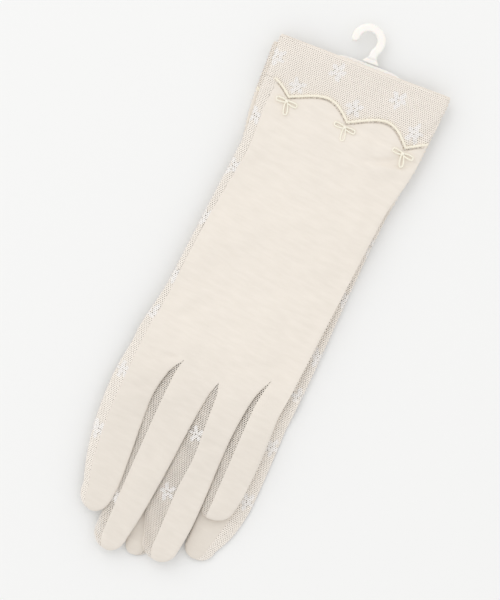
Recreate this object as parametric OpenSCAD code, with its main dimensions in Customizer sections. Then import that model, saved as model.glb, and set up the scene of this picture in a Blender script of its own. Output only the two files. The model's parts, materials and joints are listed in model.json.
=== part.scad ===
// A pair of bridal gloves laid flat for display, with jersey backs and net-lace palms,
// fourchettes and cuffs.  The left-hand glove lies on the right-hand one, backs up, thumbs
// tucked under the palms, and a tag pin joins both cuffs to a plastic display hook.
// +Y runs from the fingertips to the cuffs, +X to the right, +Z up from the table, and the
// origin is under the middle of the whole pair.
// Each glove is drawn in a frame of its own: y = 0 on the fold across the knuckles, x = 0 on
// the axis of the hand, index side towards -X and z = 0 on its lowest face.  The right-hand
// glove is the mirror image.  v is a length along the hand, u runs across it from -1 on the
// index side to 1 on the little-finger side.  Finger values run from index to little finger.

/* [Hand] */
// Width across the wrist, laid flat
wrist_w = 80.6; // [72:0.2:92]
// How far the index side stands out at the knuckles
index_flare = 3.2; // [0:0.1:5]
// Length of the hand over which the index side stands out
flare_l = 38; // [20:1:60]
// From the knuckle fold to the valleys of the scalloped seam
hand_l = 148; // [125:1:170]
// Width of the lace that wraps round the index side onto the back
wrap_w = 4.5; // [2:0.1:8]
// Depth of each slit above the knuckle fold
slit_depth = [4, 2, 15]; // [0.5:0.5:20]

/* [Cuff] */
// Width of the cuff, laid flat
cuff_w = 88; // [76:0.5:100]
// From the valleys of the scalloped seam to the top of the cuff
cuff_l = 28.6; // [22:0.1:40]
// Width of the turned hem at the top
hem_w = 3; // [2:0.1:5]
// Length of sleeve, below the scallops, over which it widens to the cuff
widen_l = 38; // [25:1:50]
// Angle between the top of the cuff and a line square to the hand
cuff_lean = 6.8; // [0:0.1:8]
// Where the arm starts to lean, for the left and the right glove
lean_start = [130, 105]; // [90:1:135]
// Length over which the lean grows
lean_l = 30; // [20:1:35]

/* [Trim] */
// Distance between two valleys of the scalloped seam
scallop_pitch = 31; // [24:0.5:36]
// Rise of each scallop above the valleys
scallop_h = 6.6; // [2:0.1:8]
// Diameter of the cord sewn over the scalloped seam
cord_d = 1.4; // [1:0.1:2]
// How far the cord and the loop flowers stand proud of the back
trim_proud = 0.5; // [0.3:0.1:0.8]
// Length of each of a flower's three thread loops, and their width
loop_l = [5.2, 7, 5.6]; // [4:0.1:8]
loop_w = 3; // [2:0.1:3.4]
// Thickness of the thread in a loop
thread_d = 0.6; // [0.3:0.1:0.7]
// Distance of a flower's knot below its valley
flower_drop = 3.3; // [2.5:0.1:5]

/* [Fingers] */
// Share of the knuckle width that each finger takes
finger_share = [0.33, 0.24, 0.235, 0.195]; // [0.1:0.005:0.4]
// Gap between two fingers at the fold
finger_gap = 0.8; // [0.6:0.1:1.2]
// Width of each finger near its tip
tip_w = [18.2, 15.4, 18.4, 15]; // [12:0.1:20]
// Reach of the left glove's fingers from the fold
left_reach = [82.5, 98.4, 91.5, 59.5]; // [40:0.5:120]
// Place of the left glove's fingertips across the hand
left_tip_x = [-23.1, -5, 16.6, 35.6]; // [-45:0.1:45]
// Reach of the right glove's fingers from the fold
right_reach = [77.5, 89.5, 86, 56]; // [40:0.5:120]
// Place of the right glove's fingertips across the hand
right_tip_x = [-35.4, -4, 15.5, 32.4]; // [-45:0.1:45]
// How far the index finger bows outwards
index_bow = 3.5; // [0:0.1:5]

/* [Thumb] */
// Where the thumb is sewn to the palm: distance from the hand's axis, and above the fold
thumb_x = 26; // [20:0.5:28]
thumb_v = 82; // [75:1:100]
// From the thumb's root to its tip
thumb_l = 60; // [45:1:66]
// Width of the thumb at its root, and near its tip
thumb_root_w = 29; // [22:1:32]
thumb_tip_w = 21; // [16:1:24]
// Angle of the tucked thumb towards the middle of the hand
thumb_turn = 8; // [0:1:12]

/* [Layers] */
// Thickness of one layer of fabric
fabric_t = 0.5; // [0.4:0.05:0.6]
// Thickness of the thumb, pressed flat
thumb_t = 1.2; // [1.2:0.05:1.6]
// Space between the two layers of the hand
inner_gap = 0.7; // [0.6:0.05:1]
// Clearance between pieces that move past each other
clearance = 0.3; // [0.3:0.05:0.5]
// Thickness of the lace walls at the sides of a finger
wall_t = 1; // [0.8:0.1:1.5]

/* [Lay] */
// How far the right glove lies to the right of the left one, and towards the fingertips
right_dx = 1.4; // [0:0.1:3]
right_dy = 4.5; // [0:0.1:8]

/* [Hook] */
// Inner radius of the display hook
hook_r = 4.75; // [4:0.05:6]
// Width of the hook's band, and its thickness
hook_band = 3.7; // [3:0.1:4.2]
hook_t = 2.4; // [1.6:0.1:2.8]
// Centre of the hook's loop from the pin, across and along the cuff
hook_cx = -3.1; // [-4:0.1:-2]
hook_cy = 19.7; // [19:0.1:24]
// Width and height of the flat plate pinned between the cuffs
plate_w = 36; // [26:1:40]
plate_h = 16; // [13:0.5:18]
// Distance of the pin from the top of the cuff, and from the cuff's middle
pin_inset = 9; // [8:0.1:10]
pin_u = 0.06; // [0:0.01:0.1]
// Radius of the pin, and of its flat heads
pin_r = 0.5; // [0.4:0.05:0.8]
pin_head_r = 1.8; // [1.2:0.1:3]

/* [Hidden] */
LEFT = 0;
RIGHT = 1;
$fn = 48;

jersey = [0.95, 0.92, 0.88];
lace = [0.91, 0.88, 0.84];
cord_cream = [0.90, 0.87, 0.80];
white_plastic = [0.97, 0.96, 0.94];

// Points along each side, each scallop and each fingertip
side_steps = 24;
scallop_steps = 60;
tip_steps = 20;
loop_steps = 8;
valley_s = 1.8;              // place of the middle valley across the hand
knot_r = 0.9;                // knot in the middle of a loop flower
loop_turn = [190, 277, 358]; // way that each loop of a flower points
side_wall = 0.8;             // wall at the folded sides of the hand and cuff
cut = 1;                     // how far a cutting shape passes the face it cuts
thumb_fabric_t = 0.45;       // one layer of the pressed thumb
plate_corner = 4;            // radius of the plate's corners
foot_notch = 3;              // radius of the notches beside the stem's foot
stem_angle = -40;            // way from the hook's centre to the top of its stem
tip_angle = 215;             // way from the hook's centre to its tip
end_slack = 0.1;             // a round end is this much slimmer than the band

// Heights inside one glove
palm_z = thumb_t + clearance;
back_z = palm_z + fabric_t + inner_gap;
glove_t = back_z + fabric_t;
trim_top = glove_t + trim_proud;
left_z = trim_top + clearance;
// The hook's plate fills the space between the cuffs, less the clearance
plate_t = palm_z - clearance;

cuff_top = hand_l + cuff_l;
knuckle_w = wrist_w + index_flare;
share_sum = finger_share[0] + finger_share[1] + finger_share[2] + finger_share[3];
pin_v = cuff_top - pin_inset;
pin_at = place(LEFT, pin_u, pin_v);

// Middle of the whole pair, which becomes the origin
low_y = -left_reach[1];
high_y = pin_at.y + hook_cy * cos(cuff_lean) + hook_cx * sin(cuff_lean) + hook_r + hook_band;
low_x = min([for (p = cuff_outline(RIGHT, hand_l, cuff_top)) right_dx - p.x]);
high_x = max([for (p = finger_outline(RIGHT, 0, 0)) right_dx - p.x]);
origin_x = (low_x + high_x) / 2;
origin_y = (low_y + high_y) / 2;

function clamp01(t) = min(1, max(0, t));
function ease(t) = let (k = clamp01(t)) k * k * (3 - 2 * k);
function mix(a, b, t) = a + (b - a) * t;
function side_sign(g) = g == LEFT ? 1 : -1;

// Half the width of the sleeve: the wrist's, easing out to the cuff's below the scallops
function half_w(v) = wrist_w / 2
    + (cuff_w - wrist_w) / 2 * ease((v - hand_l + widen_l) / widen_l);

// How far the sleeve has leant at v, as a share of the whole lean
function lean_share(g, v) = clamp01((v - lean_start[g]) / lean_l);

// Sideways shift of the middle line: a parabola while the lean grows, then a straight line
function middle_x(g, v) = let (share = lean_share(g, v))
    -side_sign(g) * tan(cuff_lean)
    * (share * share * lean_l / 2 + max(0, v - lean_start[g] - lean_l));

// Point of the flat hand at u across and v along
function place(g, u, v) = let (
        a = side_sign(g) * cuff_lean * lean_share(g, v),
        flare = index_flare * ease(1 - v / flare_l) * (1 - u) / 2
    ) [middle_x(g, v) + u * half_w(v) * cos(a) - flare, v + u * half_w(v) * sin(a)];

// Height of the scalloped seam at u: a row of half sine waves that meet in valleys
function scallop_v(u) = hand_l
    + scallop_h * abs(sin(180 * (u * half_w(hand_l) - valley_s) / scallop_pitch));

// Values of u from u0 to u1: pieces that meet along the seam share the steps between
function seam_steps(u0, u1) = concat([u0],
    [for (i = [0 : scallop_steps]) let (u = 2 * i / scallop_steps - 1) if (u > u0 && u < u1) u],
    [u1]);

// Points up one side from v0 to v1, and along the seam moved by dv
function side_points(g, u, v0, v1) =
    [for (i = [0 : side_steps]) place(g, u, mix(v0, v1, i / side_steps))];
function seam_points(g, u0, u1, dv) =
    [for (u = seam_steps(u0, u1)) place(g, u, scallop_v(u) + dv)];
function reversed(points) = [for (i = [len(points) - 1 : -1 : 0]) points[i]];

// u of a line that keeps a distance inside the index side or the little-finger side
function inside(u, distance, v) = u - sign(u) * distance / half_w(v);

// Outline of a band of the sleeve between v0 and v1
function cuff_outline(g, v0, v1) = concat(side_points(g, -1, v0, v1),
    reversed(side_points(g, 1, v0, v1)));

// Edges of finger k at the fold, counted from the index side
function share_before(k) = k == 0 ? 0 : share_before(k - 1) + finger_share[k - 1] / share_sum;
function finger_low_x(k) = -wrist_w / 2 - index_flare + knuckle_w * share_before(k)
    + (k == 0 ? 0 : finger_gap / 2);
function finger_high_x(k) = -wrist_w / 2 - index_flare + knuckle_w * share_before(k + 1)
    - (k == 3 ? 0 : finger_gap / 2);

// Outline of a finger, drawn smaller by inset: two sides that run from the fold to the tip,
// the index finger's outer one bowed as half a sine wave, and a round tip
function finger_outline(g, k, inset) = let (
        reach = (g == LEFT ? left_reach : right_reach)[k],
        tip_x = (g == LEFT ? left_tip_x : right_tip_x)[k],
        r = tip_w[k] / 2,
        root_y = inset > 0 ? cut : -clearance / 2,
        tip_y = r - reach,
        bow = k == 0 ? index_bow : 0,
        x0 = finger_low_x(k) + inset,
        x1 = finger_high_x(k) - inset
    ) concat(
        [for (i = [0 : side_steps - 1]) let (t = i / side_steps)
            [mix(x0, tip_x - r + inset, t) - bow * sin(180 * t), mix(root_y, tip_y, t)]],
        [for (i = [0 : tip_steps]) let (a = 180 + 180 * i / tip_steps)
            [tip_x + (r - inset) * cos(a), tip_y + (r - inset) * sin(a)]],
        [for (i = [side_steps - 1 : -1 : 0]) let (t = i / side_steps)
            [mix(x1, tip_x + r - inset, t), mix(root_y, tip_y, t)]]
    );

module in_glove(g) {
    translate([-origin_x, -origin_y, 0])
        if (g == LEFT)
            translate([0, 0, left_z]) children();
        else
            translate([right_dx, -right_dy, 0]) mirror([1, 0, 0]) children();
}

// Flat piece of the glove between two heights
module layer(points, z0, z1) {
    translate([0, 0, z0]) linear_extrude(z1 - z0) polygon(points);
}

// The three slits between the fingers, cut through the hand
module slits() {
    for (k = [0 : 2])
        layer([[finger_high_x(k), -cut], [finger_low_x(k + 1), -cut],
               [finger_low_x(k + 1), clearance], [(finger_high_x(k) + finger_low_x(k + 1)) / 2,
               slit_depth[k]], [finger_high_x(k), clearance]], -cut, glove_t + cut);
}

// Lower face of the cuff: the right glove's reaches down to the table
function cuff_z(g) = g == LEFT ? palm_z : 0;

// Where the pin crosses glove g, in that glove's own frame
function pin_in(g) = g == LEFT ? pin_at : [right_dx - pin_at.x, pin_at.y + right_dy];

module pin_hole(g, z0, z1) {
    at = pin_in(g);
    translate([at.x, at.y, z0 - cut]) cylinder(h = z1 - z0 + 2 * cut, r = pin_r + clearance);
}

// Jersey back of the hand, with the fold at the little-finger side
module hand_back(g) {
    seam = -cord_d / 2;
    low = clearance / 2;
    u0 = inside(-1, wrap_w, low);
    outline = concat(side_points(g, u0, low, scallop_v(u0) + seam),
        seam_points(g, u0, 1, seam), reversed(side_points(g, 1, low, scallop_v(1) + seam)));
    u1 = inside(1, side_wall, low);
    fold = concat(side_points(g, u1, low, hand_l), reversed(side_points(g, 1, low, hand_l)));
    color(jersey) in_glove(g) difference() {
        union() {
            layer(outline, back_z, glove_t);
            layer(fold, palm_z + fabric_t, back_z);
        }
        slits();
    }
}

// Lace palm, which wraps round the index side onto the back
module hand_palm(g) {
    seam = -cord_d / 2;
    low = clearance / 2;
    u0 = inside(-1, wrap_w, low);
    u1 = inside(-1, side_wall, low);
    wrap = concat(side_points(g, -1, low, scallop_v(-1) + seam), seam_points(g, -1, u0, seam),
        reversed(side_points(g, u0, low, scallop_v(u0) + seam)));
    fold = concat(side_points(g, -1, low, hand_l), reversed(side_points(g, u1, low, hand_l)));
    color(lace) in_glove(g) difference() {
        union() {
            layer(cuff_outline(g, low, hand_l), palm_z, palm_z + fabric_t);
            layer(fold, palm_z + fabric_t, back_z);
            layer(wrap, back_z, glove_t);
        }
        slits();
    }
}

// Lace back of the cuff, scalloped along its lower edge
module cuff_back(g) {
    seam = cord_d / 2;
    top = cuff_top - hem_w;
    outline = concat(side_points(g, -1, scallop_v(-1) + seam, top),
        reversed(side_points(g, 1, scallop_v(1) + seam, top)),
        reversed(seam_points(g, -1, 1, seam)));
    color(lace) in_glove(g) difference() {
        layer(outline, back_z, glove_t);
        if (g == RIGHT) pin_hole(g, back_z, glove_t);
    }
}

// Lace palm side of the cuff, with both folded sides
module cuff_palm(g) {
    z = cuff_z(g);
    top = cuff_top - hem_w;
    left_u = inside(-1, side_wall, hand_l);
    right_u = inside(1, side_wall, hand_l);
    wall_low = scallop_v(0) + cord_d;
    color(lace) in_glove(g) difference() {
        union() {
            layer(cuff_outline(g, hand_l, top), z, z + fabric_t);
            layer(concat(side_points(g, -1, wall_low, top),
                reversed(side_points(g, left_u, wall_low, top))), z + fabric_t, back_z);
            layer(concat(side_points(g, right_u, wall_low, top),
                reversed(side_points(g, 1, wall_low, top))), z + fabric_t, back_z);
            if (z < palm_z)
                layer(cuff_outline(g, hand_l, hand_l + side_wall), z, palm_z + fabric_t);
        }
        if (g == LEFT) pin_hole(g, z, z + fabric_t);
    }
}

// Turned hem round the top of the cuff, open through the middle
module cuff_hem(g) {
    z = cuff_z(g);
    low = cuff_top - hem_w;
    left_u = inside(-1, side_wall, cuff_top);
    right_u = inside(1, side_wall, cuff_top);
    mouth = concat(side_points(g, left_u, low - cut, cuff_top + cut),
        reversed(side_points(g, right_u, low - cut, cuff_top + cut)));
    color(lace) in_glove(g) difference() {
        layer(cuff_outline(g, low, cuff_top), z, glove_t);
        layer(mouth, z + fabric_t, back_z);
    }
}

// Cord sewn over the scalloped seam
module scallop_cord(g) {
    half = cord_d / 2;
    color(cord_cream) in_glove(g)
        layer(concat(seam_points(g, -1, 1, -half), reversed(seam_points(g, -1, 1, half))),
            back_z, trim_top);
}

// Outline of a slot with round ends, from the origin along X, drawn smaller by inset
function slot_outline(l, w, inset) = let (r = w / 2 - inset) concat(
    [for (i = [0 : loop_steps]) let (a = -90 + 180 * i / loop_steps)
        [l - w / 2 + r * cos(a), r * sin(a)]],
    [for (i = [0 : loop_steps]) let (a = 90 + 180 * i / loop_steps)
        [w / 2 + r * cos(a), r * sin(a)]]);

// One thread loop from its knot, as a slot-shaped ring
module thread_loop(l) {
    difference() {
        polygon(slot_outline(l, loop_w, 0));
        polygon(slot_outline(l, loop_w, thread_d));
    }
}

// Three loops and a knot under each valley of the seam
module loop_flowers(g) {
    color(cord_cream) in_glove(g)
        for (n = [-1 : 1]) {
            u = (valley_s + n * scallop_pitch) / half_w(hand_l);
            at = place(g, u, hand_l - flower_drop);
            translate([at.x, at.y, glove_t]) linear_extrude(trim_proud) {
                circle(r = knot_r);
                for (k = [0 : 2])
                    rotate(loop_turn[k]) translate([knot_r / 2, 0]) thread_loop(loop_l[k]);
            }
        }
}

module finger_back(g, k) {
    color(jersey) in_glove(g) layer(finger_outline(g, k, 0), back_z, glove_t);
}

module finger_palm(g, k) {
    color(lace) in_glove(g) layer(finger_outline(g, k, 0), 0, fabric_t);
}

// Lace side walls of a finger, open at the hand
module finger_fourchette(g, k) {
    color(lace) in_glove(g) difference() {
        layer(finger_outline(g, k, 0), fabric_t, back_z);
        layer(finger_outline(g, k, wall_t), fabric_t - cut, back_z + cut);
    }
}

// Outline of the tucked thumb, drawn smaller by inset: a round root and a round tip, joined
// by straight sides that touch both circles
function thumb_outline(inset) = let (
        root_r = thumb_root_w / 2 - inset,
        tip_r = thumb_tip_w / 2 - inset,
        span = thumb_l - thumb_tip_w / 2,
        slope = asin((root_r - tip_r) / span),
        bend = 180 + 2 * slope
    ) concat(
        [for (i = [0 : tip_steps]) let (a = -slope + bend * i / tip_steps)
            [root_r * cos(a), root_r * sin(a)]],
        [for (i = [0 : tip_steps]) let (a = 180 + slope + (360 - bend) * i / tip_steps)
            [tip_r * cos(a), tip_r * sin(a) - span]]);

module thumb_shape(inset) {
    translate([-thumb_x, thumb_v]) rotate(thumb_turn) polygon(thumb_outline(inset));
}

module thumb_back(g) {
    color(jersey) in_glove(g)
        translate([0, 0, thumb_t - thumb_fabric_t]) linear_extrude(thumb_fabric_t)
            thumb_shape(0);
}

// Lace front of the thumb, with the rim that joins it to the back
module thumb_front(g) {
    color(lace) in_glove(g) difference() {
        linear_extrude(thumb_t - thumb_fabric_t) thumb_shape(0);
        translate([0, 0, thumb_fabric_t]) linear_extrude(thumb_t) thumb_shape(side_wall);
    }
}

// Pin through the right cuff's back, the hook and the left cuff's palm side, with a flat
// head inside each cuff: the lower one bears on the right cuff's back from below
module tag_pin() {
    head_t = inner_gap - clearance;
    low = back_z - head_t;
    high = left_z + palm_z + fabric_t + clearance / 2;
    color(white_plastic) translate([pin_at.x - origin_x, pin_at.y - origin_y, 0]) {
        translate([0, 0, low]) cylinder(h = high + head_t - low, r = pin_r);
        translate([0, 0, low]) cylinder(h = head_t, r = pin_head_r);
        translate([0, 0, high]) cylinder(h = head_t, r = pin_head_r);
    }
}

// Points along an arc about (cx, cy)
function arc_points(cx, cy, r, a0, a1) =
    [for (i = [0 : loop_steps]) let (a = mix(a0, a1, i / loop_steps))
        [cx + r * cos(a), cy + r * sin(a)]];

// Outline of the hook's flat plate, rounded at its corners, with the foot of the stem on top
// of it, hollowed by a round notch on each side
function plate_outline(stem_x, top) = let (
        corner = plate_corner,
        notch = foot_notch,
        side = plate_w / 2 - corner,
        low = top - plate_h + corner,
        half = hook_band / 2
    ) concat(
        arc_points(-side, low, corner, 180, 270),
        arc_points(side, low, corner, 270, 360),
        arc_points(side, top - corner, corner, 0, 90),
        arc_points(stem_x + half + notch, top + notch, notch, 270, 180),
        arc_points(stem_x - half - notch, top + notch, notch, 0, -90),
        arc_points(-side, top - corner, corner, 90, 180));

// Open hook on a stem that flares into the plate
module hanger_hook() {
    plate_top = pin_inset + 2;
    mid_r = hook_r + hook_band / 2;
    round_r = hook_band / 2 - end_slack;
    loop_z = (plate_t - hook_t) / 2;
    stem_x = hook_cx + mid_r * cos(stem_angle);
    stem_y = hook_cy + mid_r * sin(stem_angle);
    color(white_plastic)
        translate([pin_at.x - origin_x, pin_at.y - origin_y, left_z])
            rotate([0, 0, cuff_lean]) {
                difference() {
                    linear_extrude(plate_t) polygon(plate_outline(stem_x, plate_top));
                    translate([0, 0, -cut])
                        cylinder(h = plate_t + 2 * cut, r = pin_r + clearance);
                }
                translate([stem_x - hook_band / 2, plate_top + cut, loop_z])
                    cube([hook_band, stem_y - plate_top - cut, hook_t]);
                translate([stem_x, stem_y, loop_z]) cylinder(h = hook_t, r = round_r);
                translate([hook_cx, hook_cy, loop_z]) {
                    rotate([0, 0, stem_angle])
                        rotate_extrude(angle = tip_angle - stem_angle)
                            translate([hook_r, 0]) square([hook_band, hook_t]);
                    rotate([0, 0, tip_angle]) translate([mid_r, 0, 0])
                        cylinder(h = hook_t, r = round_r);
                }
            }
}

hand_back(LEFT);  // left_hand_back
hand_palm(LEFT);  // left_hand_palm
cuff_back(LEFT);  // left_cuff_back
cuff_palm(LEFT);  // left_cuff_palm
cuff_hem(LEFT);  // left_cuff_hem
scallop_cord(LEFT);  // left_scallop_cord
loop_flowers(LEFT);  // left_loop_flowers
finger_back(LEFT, 0);  // left_index_back
finger_palm(LEFT, 0);  // left_index_palm
finger_fourchette(LEFT, 0);  // left_index_fourchette
finger_back(LEFT, 1);  // left_middle_back
finger_palm(LEFT, 1);  // left_middle_palm
finger_fourchette(LEFT, 1);  // left_middle_fourchette
finger_back(LEFT, 2);  // left_ring_back
finger_palm(LEFT, 2);  // left_ring_palm
finger_fourchette(LEFT, 2);  // left_ring_fourchette
finger_back(LEFT, 3);  // left_little_back
finger_palm(LEFT, 3);  // left_little_palm
finger_fourchette(LEFT, 3);  // left_little_fourchette
thumb_back(LEFT);  // left_thumb_back
thumb_front(LEFT);  // left_thumb_front
hand_back(RIGHT);  // right_hand_back
hand_palm(RIGHT);  // right_hand_palm
cuff_back(RIGHT);  // right_cuff_back
cuff_palm(RIGHT);  // right_cuff_palm
cuff_hem(RIGHT);  // right_cuff_hem
scallop_cord(RIGHT);  // right_scallop_cord
loop_flowers(RIGHT);  // right_loop_flowers
finger_back(RIGHT, 0);  // right_index_back
finger_palm(RIGHT, 0);  // right_index_palm
finger_fourchette(RIGHT, 0);  // right_index_fourchette
finger_back(RIGHT, 1);  // right_middle_back
finger_palm(RIGHT, 1);  // right_middle_palm
finger_fourchette(RIGHT, 1);  // right_middle_fourchette
finger_back(RIGHT, 2);  // right_ring_back
finger_palm(RIGHT, 2);  // right_ring_palm
finger_fourchette(RIGHT, 2);  // right_ring_fourchette
finger_back(RIGHT, 3);  // right_little_back
finger_palm(RIGHT, 3);  // right_little_palm
finger_fourchette(RIGHT, 3);  // right_little_fourchette
thumb_back(RIGHT);  // right_thumb_back
thumb_front(RIGHT);  // right_thumb_front
tag_pin();
hanger_hook();
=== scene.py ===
"""A pair of bridal gloves laid flat: jersey backs, net-lace palms, fourchettes and cuffs, a cord
over the scalloped seam, three loop flowers, and a display hook pinned between the cuffs.

Each glove is worked out in a frame of its own, in millimetres: v (or y) runs from the knuckle
fold to the cuff, x across with the index side towards -x, and z up from the glove's lowest face.
The lower, right-hand glove is the mirror image.
"""

import json
import logging
import math
from dataclasses import dataclass, field
from enum import Enum
from typing import Callable

import bpy
import numpy as np
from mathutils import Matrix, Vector


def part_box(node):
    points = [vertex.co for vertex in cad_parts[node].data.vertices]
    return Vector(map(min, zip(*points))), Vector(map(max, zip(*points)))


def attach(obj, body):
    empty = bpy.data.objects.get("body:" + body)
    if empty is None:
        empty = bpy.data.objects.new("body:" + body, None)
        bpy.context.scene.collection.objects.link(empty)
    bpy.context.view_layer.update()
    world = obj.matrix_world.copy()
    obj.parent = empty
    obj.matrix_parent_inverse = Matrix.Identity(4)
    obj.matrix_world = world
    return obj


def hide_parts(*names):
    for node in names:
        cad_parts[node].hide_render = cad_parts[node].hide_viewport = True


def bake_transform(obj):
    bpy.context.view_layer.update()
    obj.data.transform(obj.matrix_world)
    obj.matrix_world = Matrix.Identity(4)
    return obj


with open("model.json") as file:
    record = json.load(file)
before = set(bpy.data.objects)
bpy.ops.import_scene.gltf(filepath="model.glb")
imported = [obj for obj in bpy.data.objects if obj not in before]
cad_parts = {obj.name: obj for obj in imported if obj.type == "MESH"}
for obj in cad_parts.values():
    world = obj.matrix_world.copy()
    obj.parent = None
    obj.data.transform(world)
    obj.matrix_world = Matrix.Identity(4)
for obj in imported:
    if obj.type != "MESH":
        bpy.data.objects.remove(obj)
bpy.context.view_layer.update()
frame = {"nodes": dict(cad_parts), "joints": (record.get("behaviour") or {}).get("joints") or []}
log = logging.getLogger("gloves")
MM = 0.001
Array = np.ndarray
Mapping = Callable[[Array, Array], Array]
Mask = Callable[[Array, Array], Array]


class Slot(Enum):
    """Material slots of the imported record."""

    JERSEY = "jersey"
    LACE = "lace_net"
    CORD = "satin_cord"
    FLOWER = "flower_thread"
    PLASTIC = "hook_plastic"


class Side(Enum):
    """The two gloves: the left one lies on the right one."""

    LEFT = "left"
    RIGHT = "right"


# Cut width and length in mm of each sheet, and the width of each finger's sheets
BACK_CUT, PALM_CUT, WRAP_CUT = (82.0, 139.0), (82.0, 136.0), (10.0, 139.0)
CUFF_CUT, THUMB_CUT = (88.0, 30.0), (30.0, 75.0)
FINGER_CUT_W, FOURCHETTE_CUT_W = 24.0, 10.0
FINGERS = ("index", "middle", "ring", "little")
STATIONS = (0.0, 0.2, 0.4, 0.6, 0.8, 0.9)


# ---------------------------------------------------------------- small tools


def ease(t: Array) -> Array:
    """Smooth step from 0 to 1: k squared times (3 - 2k), with t held between 0 and 1."""
    k = np.clip(t, 0, 1)
    return k * k * (3 - 2 * k)


def mix(a: Array, b: Array, t: Array) -> Array:
    """Straight mix of a and b."""
    return a + (b - a) * t


def power_wave(wave: Array, power: float) -> Array:
    """A sine or cosine on a power, with its sign kept, as a superellipse has it."""
    return np.sign(wave) * np.abs(wave) ** power


def smooth_curve(stations: tuple, values: tuple, t: Array) -> Array:
    """Curve through values at stations: cubic Hermite pieces with slopes from the neighbours.

    Args:
        stations: Places of the values, rising.
        values: The values.
        t: Places to work out, held inside the stations.

    Returns:
        The curve at t.
    """
    xs, ys = np.asarray(stations, float), np.asarray(values, float)
    slopes = np.gradient(ys, xs)
    t = np.clip(t, xs[0], xs[-1])
    i = np.clip(np.searchsorted(xs, t, side="right") - 1, 0, len(xs) - 2)
    h = xs[i + 1] - xs[i]
    k = (t - xs[i]) / h
    return (
        ys[i] * (1 + 2 * k) * (1 - k) ** 2
        + slopes[i] * h * k * (1 - k) ** 2
        + ys[i + 1] * k * k * (3 - 2 * k)
        + slopes[i + 1] * h * k * k * (k - 1)
    )


def grid_normals(points: Array) -> Array:
    """Unit normals of a grid of points: cross product of the differences along both ways."""
    du = np.gradient(points, axis=1)
    dv = np.gradient(points, axis=0)
    n = np.cross(du, dv)
    return n / np.maximum(np.linalg.norm(n, axis=2, keepdims=True), 1e-9)


def grid_faces(rows: int, cols: int, closed: bool = False) -> Array:
    """Quads of a rows by cols grid, counter-clockwise from outside.

    Args:
        rows: Number of rows.
        cols: Number of columns.
        closed: Whether the last column joins the first.

    Returns:
        Array of four corner numbers per quad.
    """
    r = np.arange(rows - 1)[:, None] * cols
    c = np.arange(cols if closed else cols - 1)[None, :]
    d = (c + 1) % cols
    return np.stack([r + c, r + d, r + cols + d, r + cols + c], axis=2).reshape(-1, 4)


@dataclass
class Cloth:
    """Where a glove's own frame lies in the row frame."""

    side: Side
    axis_x: float
    fold_y: float
    base_z: float

    def world(self, p: Array) -> Array:
        """Glove frame in mm to row frame in metres, mirrored for the right-hand glove."""
        sign = 1.0 if self.side is Side.LEFT else -1.0
        return np.stack(
            [self.axis_x + sign * p[..., 0], self.fold_y + p[..., 1], self.base_z + p[..., 2]],
            axis=-1,
        ) * MM


def add_mesh(name: str, points: Array, faces: Array, flip: bool = False,
             uv: Array | None = None, tint: Array | None = None) -> bpy.types.Object:
    """Puts vertices and faces into a new smooth-shaded mesh object at the origin.

    Args:
        name: Piece name.
        points: Vertices in metres.
        faces: Corner numbers, one row per face.
        flip: Whether the faces are turned round, as a mirrored glove needs.
        uv: Cloth coordinates per vertex, in mm.
        tint: Share of darning thread per vertex.

    Returns:
        The new object.
    """
    faces = faces[:, ::-1] if flip else faces
    mesh = bpy.data.meshes.new(name)
    size = faces.shape[1]
    mesh.vertices.add(len(points))
    mesh.vertices.foreach_set("co", np.asarray(points, np.float32).ravel())
    mesh.loops.add(faces.size)
    mesh.loops.foreach_set("vertex_index", faces.ravel().astype(np.int32))
    mesh.polygons.add(len(faces))
    mesh.polygons.foreach_set("loop_start", np.arange(0, faces.size, size, dtype=np.int32))
    mesh.update(calc_edges=True)
    mesh.polygons.foreach_set("use_smooth", np.ones(len(faces), bool))
    if uv is not None:
        layer = mesh.uv_layers.new(name="cloth_mm")
        layer.data.foreach_set("uv", uv[faces.ravel()].astype(np.float32).ravel())
    if tint is not None:
        attribute = mesh.attributes.new("darning", "FLOAT", "POINT")
        attribute.data.foreach_set("value", tint.astype(np.float32))
    mesh.validate()
    obj = bpy.data.objects.new(name, mesh)
    bpy.context.scene.collection.objects.link(obj)
    return obj


def thick_sheet(name: str, cloth: Cloth, points: Array, thickness: float,
                uv: Array | None = None) -> bpy.types.Object:
    """Sheet with two faces and closed rims: the grid, and the same grid moved inwards.

    Args:
        name: Piece name.
        cloth: Frame of the glove.
        points: Grid of outer points in mm.
        thickness: Thickness of the cloth in mm.
        uv: Cloth coordinates of the grid in mm.

    Returns:
        The new object.
    """
    rows, cols = points.shape[:2]
    inner = points - grid_normals(points) * thickness
    count = rows * cols
    ids = np.arange(count).reshape(rows, cols)
    ring = np.concatenate([ids[0, :-1], ids[:-1, -1], ids[-1, :0:-1], ids[:0:-1, 0]])
    nxt = np.roll(ring, -1)
    top = grid_faces(rows, cols)
    rim = np.stack([ring, ring + count, nxt + count, nxt], axis=1)
    faces = np.concatenate([top, top[:, ::-1] + count, rim])
    both = cloth.world(np.concatenate([points.reshape(-1, 3), inner.reshape(-1, 3)]))
    cloth_mm = None if uv is None else np.tile(uv.reshape(-1, 2), (2, 1))
    obj = add_mesh(name, both, faces, cloth.side is Side.RIGHT, cloth_mm)
    obj.data.set_sharp_from_angle(angle=math.radians(50))
    return obj


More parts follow.
